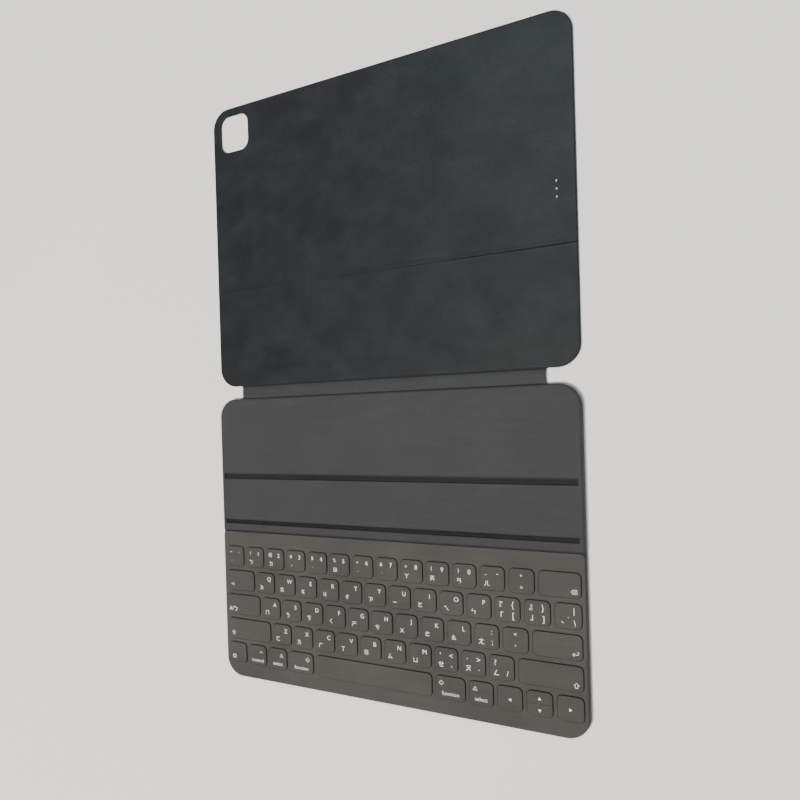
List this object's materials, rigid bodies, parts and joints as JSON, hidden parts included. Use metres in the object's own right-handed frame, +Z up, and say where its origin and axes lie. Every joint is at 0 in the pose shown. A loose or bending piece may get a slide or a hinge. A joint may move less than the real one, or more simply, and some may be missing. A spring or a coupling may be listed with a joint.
{
  "type": "tablet keyboard case",
  "caption": "Flat folding case of two leaves joined by a spine: a fabric-covered keyboard leaf with two stand grooves, and a creased cover leaf with a camera window.",
  "frame": {"origin": "on the table under the middle of the spine, with the case open and flat", "axes": "+X to the right seen from above with the keyboard nearest, +Y from the keyboard leaf to the cover leaf, +Z up"},
  "size_m": [0.282, 0.4474, 0.0047],
  "materials": {
    "outer_skin": "matte soft-touch sheet, fine pebble grain",
    "lining": "dark grey microfibre suede, mottled nap",
    "deck_fabric": "dark grey close-woven fabric, matte",
    "key_fabric": "dark grey close-woven fabric over stiff key caps, white printed legends",
    "stiffener": "glass-filled board",
    "board": "pressed board",
    "circuit": "printed circuit",
    "dome_steel": "sprung steel domes",
    "black_plastic": "moulded black plastic",
    "magnet": "nickel-plated magnets",
    "ribbon": "conductive fabric ribbon",
    "contact_metal": "polished plated contacts"
  },
  "bodies": {
    "keyboard_leaf": {"base_outer_skin": "outer_skin", "base_stiffener": "stiffener", "key_circuit": "circuit", "key_domes": "dome_steel", "key_grid": "black_plastic", "keyboard_fabric": "deck_fabric", "rear_deck_board": "board", "front_deck_boards": "board", "deck_fabric": "deck_fabric", "groove_magnets": "magnet", "controller_board": "circuit"},
    "spine": {"spine_outer_skin": "outer_skin", "spine_ribbon": "ribbon", "spine_lining": "lining"},
    "cover_flap": {"flap_outer_skin": "outer_skin", "flap_board": "stiffener", "flap_ribbon": "ribbon", "flap_lining": "lining"},
    "cover_panel": {"panel_outer_skin": "outer_skin", "panel_board": "stiffener", "panel_magnets": "magnet", "panel_ribbon": "ribbon", "contact_housing": "black_plastic", "contact_pins": "contact_metal", "panel_lining": "lining"},
    "key_space_body": {"key_space": "key_fabric"},
    "key_return_body": {"key_return": "key_fabric"},
    "key_delete_body": {"key_delete": "key_fabric"},
    "key_tab_body": {"key_tab": "key_fabric"},
    "key_caps_lock_body": {"key_caps_lock": "key_fabric"},
    "number_keys_body": {"number_keys": "key_fabric"},
    "punctuation_keys_body": {"punctuation_keys": "key_fabric"},
    "modifier_keys_body": {"modifier_keys": "key_fabric"},
    "arrow_keys_body": {"arrow_keys": "key_fabric"},
    "key_a_body": {"key_a": "key_fabric"},
    "key_b_body": {"key_b": "key_fabric"},
    "key_c_body": {"key_c": "key_fabric"},
    "key_d_body": {"key_d": "key_fabric"},
    "key_e_body": {"key_e": "key_fabric"},
    "key_f_body": {"key_f": "key_fabric"},
    "key_g_body": {"key_g": "key_fabric"},
    "key_h_body": {"key_h": "key_fabric"},
    "key_i_body": {"key_i": "key_fabric"},
    "key_j_body": {"key_j": "key_fabric"},
    "key_k_body": {"key_k": "key_fabric"},
    "key_l_body": {"key_l": "key_fabric"},
    "key_m_body": {"key_m": "key_fabric"},
    "key_n_body": {"key_n": "key_fabric"},
    "key_o_body": {"key_o": "key_fabric"},
    "key_p_body": {"key_p": "key_fabric"},
    "key_q_body": {"key_q": "key_fabric"},
    "key_r_body": {"key_r": "key_fabric"},
    "key_s_body": {"key_s": "key_fabric"},
    "key_t_body": {"key_t": "key_fabric"},
    "key_u_body": {"key_u": "key_fabric"},
    "key_v_body": {"key_v": "key_fabric"},
    "key_w_body": {"key_w": "key_fabric"},
    "key_x_body": {"key_x": "key_fabric"},
    "key_y_body": {"key_y": "key_fabric"},
    "key_z_body": {"key_z": "key_fabric"}
  },
  "joints": [
    {"name": "base_fold", "type": "hinge", "parent": "keyboard_leaf", "child": "spine", "pos_m": [0, -0.0044, 0.00185], "axis": [1, 0, 0], "range_deg": [-90, 90]},
    {"name": "cover_fold", "type": "hinge", "parent": "spine", "child": "cover_flap", "pos_m": [0, 0.0044, 0.00185], "axis": [1, 0, 0], "range_deg": [-90, 90]},
    {"name": "cover_crease", "type": "hinge", "parent": "cover_flap", "child": "cover_panel", "pos_m": [0, 0.0804, 0.0003], "axis": [-1, 0, 0], "range_deg": [0, 80]},
    {"name": "space_press", "type": "slide", "parent": "keyboard_leaf", "child": "key_space_body", "axis": [0, 0, -1], "range_m": [0, 0.0009], "stiffness_N_per_m": 400, "springref_m": -0.0005, "deforming": ["key_domes"]},
    {"name": "return_press", "type": "slide", "parent": "keyboard_leaf", "child": "key_return_body", "axis": [0, 0, -1], "range_m": [0, 0.0009], "stiffness_N_per_m": 400, "springref_m": -0.0005, "deforming": ["key_domes"]},
    {"name": "delete_press", "type": "slide", "parent": "keyboard_leaf", "child": "key_delete_body", "axis": [0, 0, -1], "range_m": [0, 0.0009], "stiffness_N_per_m": 400, "springref_m": -0.0005, "deforming": ["key_domes"]},
    {"name": "tab_press", "type": "slide", "parent": "keyboard_leaf", "child": "key_tab_body", "axis": [0, 0, -1], "range_m": [0, 0.0009], "stiffness_N_per_m": 400, "springref_m": -0.0005, "deforming": ["key_domes"]},
    {"name": "caps_lock_press", "type": "slide", "parent": "keyboard_leaf", "child": "key_caps_lock_body", "axis": [0, 0, -1], "range_m": [0, 0.0009], "stiffness_N_per_m": 400, "springref_m": -0.0005, "deforming": ["key_domes"]},
    {"name": "number_keys_press", "type": "slide", "parent": "keyboard_leaf", "child": "number_keys_body", "axis": [0, 0, -1], "range_m": [0, 0.0009], "stiffness_N_per_m": 5200, "springref_m": -0.0005, "deforming": ["key_domes"]},
    {"name": "punctuation_keys_press", "type": "slide", "parent": "keyboard_leaf", "child": "punctuation_keys_body", "axis": [0, 0, -1], "range_m": [0, 0.0009], "stiffness_N_per_m": 3200, "springref_m": -0.0005, "deforming": ["key_domes"]},
    {"name": "modifier_keys_press", "type": "slide", "parent": "keyboard_leaf", "child": "modifier_keys_body", "axis": [0, 0, -1], "range_m": [0, 0.0009], "stiffness_N_per_m": 3200, "springref_m": -0.0005, "deforming": ["key_domes"]},
    {"name": "arrow_keys_press", "type": "slide", "parent": "keyboard_leaf", "child": "arrow_keys_body", "axis": [0, 0, -1], "range_m": [0, 0.0009], "stiffness_N_per_m": 1600, "springref_m": -0.0005, "deforming": ["key_domes"]},
    {"name": "a_press", "type": "slide", "parent": "keyboard_leaf", "child": "key_a_body", "axis": [0, 0, -1], "range_m": [0, 0.0009], "stiffness_N_per_m": 400, "springref_m": -0.0005, "deforming": ["key_domes"]},
    {"name": "b_press", "type": "slide", "parent": "keyboard_leaf", "child": "key_b_body", "axis": [0, 0, -1], "range_m": [0, 0.0009], "stiffness_N_per_m": 400, "springref_m": -0.0005, "deforming": ["key_domes"]},
    {"name": "c_press", "type": "slide", "parent": "keyboard_leaf", "child": "key_c_body", "axis": [0, 0, -1], "range_m": [0, 0.0009], "stiffness_N_per_m": 400, "springref_m": -0.0005, "deforming": ["key_domes"]},
    {"name": "d_press", "type": "slide", "parent": "keyboard_leaf", "child": "key_d_body", "axis": [0, 0, -1], "range_m": [0, 0.0009], "stiffness_N_per_m": 400, "springref_m": -0.0005, "deforming": ["key_domes"]},
    {"name": "e_press", "type": "slide", "parent": "keyboard_leaf", "child": "key_e_body", "axis": [0, 0, -1], "range_m": [0, 0.0009], "stiffness_N_per_m": 400, "springref_m": -0.0005, "deforming": ["key_domes"]},
    {"name": "f_press", "type": "slide", "parent": "keyboard_leaf", "child": "key_f_body", "axis": [0, 0, -1], "range_m": [0, 0.0009], "stiffness_N_per_m": 400, "springref_m": -0.0005, "deforming": ["key_domes"]},
    {"name": "g_press", "type": "slide", "parent": "keyboard_leaf", "child": "key_g_body", "axis": [0, 0, -1], "range_m": [0, 0.0009], "stiffness_N_per_m": 400, "springref_m": -0.0005, "deforming": ["key_domes"]},
    {"name": "h_press", "type": "slide", "parent": "keyboard_leaf", "child": "key_h_body", "axis": [0, 0, -1], "range_m": [0, 0.0009], "stiffness_N_per_m": 400, "springref_m": -0.0005, "deforming": ["key_domes"]},
    {"name": "i_press", "type": "slide", "parent": "keyboard_leaf", "child": "key_i_body", "axis": [0, 0, -1], "range_m": [0, 0.0009], "stiffness_N_per_m": 400, "springref_m": -0.0005, "deforming": ["key_domes"]},
    {"name": "j_press", "type": "slide", "parent": "keyboard_leaf", "child": "key_j_body", "axis": [0, 0, -1], "range_m": [0, 0.0009], "stiffness_N_per_m": 400, "springref_m": -0.0005, "deforming": ["key_domes"]},
    {"name": "k_press", "type": "slide", "parent": "keyboard_leaf", "child": "key_k_body", "axis": [0, 0, -1], "range_m": [0, 0.0009], "stiffness_N_per_m": 400, "springref_m": -0.0005, "deforming": ["key_domes"]},
    {"name": "l_press", "type": "slide", "parent": "keyboard_leaf", "child": "key_l_body", "axis": [0, 0, -1], "range_m": [0, 0.0009], "stiffness_N_per_m": 400, "springref_m": -0.0005, "deforming": ["key_domes"]},
    {"name": "m_press", "type": "slide", "parent": "keyboard_leaf", "child": "key_m_body", "axis": [0, 0, -1], "range_m": [0, 0.0009], "stiffness_N_per_m": 400, "springref_m": -0.0005, "deforming": ["key_domes"]},
    {"name": "n_press", "type": "slide", "parent": "keyboard_leaf", "child": "key_n_body", "axis": [0, 0, -1], "range_m": [0, 0.0009], "stiffness_N_per_m": 400, "springref_m": -0.0005, "deforming": ["key_domes"]},
    {"name": "o_press", "type": "slide", "parent": "keyboard_leaf", "child": "key_o_body", "axis": [0, 0, -1], "range_m": [0, 0.0009], "stiffness_N_per_m": 400, "springref_m": -0.0005, "deforming": ["key_domes"]},
    {"name": "p_press", "type": "slide", "parent": "keyboard_leaf", "child": "key_p_body", "axis": [0, 0, -1], "range_m": [0, 0.0009], "stiffness_N_per_m": 400, "springref_m": -0.0005, "deforming": ["key_domes"]},
    {"name": "q_press", "type": "slide", "parent": "keyboard_leaf", "child": "key_q_body", "axis": [0, 0, -1], "range_m": [0, 0.0009], "stiffness_N_per_m": 400, "springref_m": -0.0005, "deforming": ["key_domes"]},
    {"name": "r_press", "type": "slide", "parent": "keyboard_leaf", "child": "key_r_body", "axis": [0, 0, -1], "range_m": [0, 0.0009], "stiffness_N_per_m": 400, "springref_m": -0.0005, "deforming": ["key_domes"]},
    {"name": "s_press", "type": "slide", "parent": "keyboard_leaf", "child": "key_s_body", "axis": [0, 0, -1], "range_m": [0, 0.0009], "stiffness_N_per_m": 400, "springref_m": -0.0005, "deforming": ["key_domes"]},
    {"name": "t_press", "type": "slide", "parent": "keyboard_leaf", "child": "key_t_body", "axis": [0, 0, -1], "range_m": [0, 0.0009], "stiffness_N_per_m": 400, "springref_m": -0.0005, "deforming": ["key_domes"]},
    {"name": "u_press", "type": "slide", "parent": "keyboard_leaf", "child": "key_u_body", "axis": [0, 0, -1], "range_m": [0, 0.0009], "stiffness_N_per_m": 400, "springref_m": -0.0005, "deforming": ["key_domes"]},
    {"name": "v_press", "type": "slide", "parent": "keyboard_leaf", "child": "key_v_body", "axis": [0, 0, -1], "range_m": [0, 0.0009], "stiffness_N_per_m": 400, "springref_m": -0.0005, "deforming": ["key_domes"]},
    {"name": "w_press", "type": "slide", "parent": "keyboard_leaf", "child": "key_w_body", "axis": [0, 0, -1], "range_m": [0, 0.0009], "stiffness_N_per_m": 400, "springref_m": -0.0005, "deforming": ["key_domes"]},
    {"name": "x_press", "type": "slide", "parent": "keyboard_leaf", "child": "key_x_body", "axis": [0, 0, -1], "range_m": [0, 0.0009], "stiffness_N_per_m": 400, "springref_m": -0.0005, "deforming": ["key_domes"]},
    {"name": "y_press", "type": "slide", "parent": "keyboard_leaf", "child": "key_y_body", "axis": [0, 0, -1], "range_m": [0, 0.0009], "stiffness_N_per_m": 400, "springref_m": -0.0005, "deforming": ["key_domes"]},
    {"name": "z_press", "type": "slide", "parent": "keyboard_leaf", "child": "key_z_body", "axis": [0, 0, -1], "range_m": [0, 0.0009], "stiffness_N_per_m": 400, "springref_m": -0.0005, "deforming": ["key_domes"]}
  ]
}
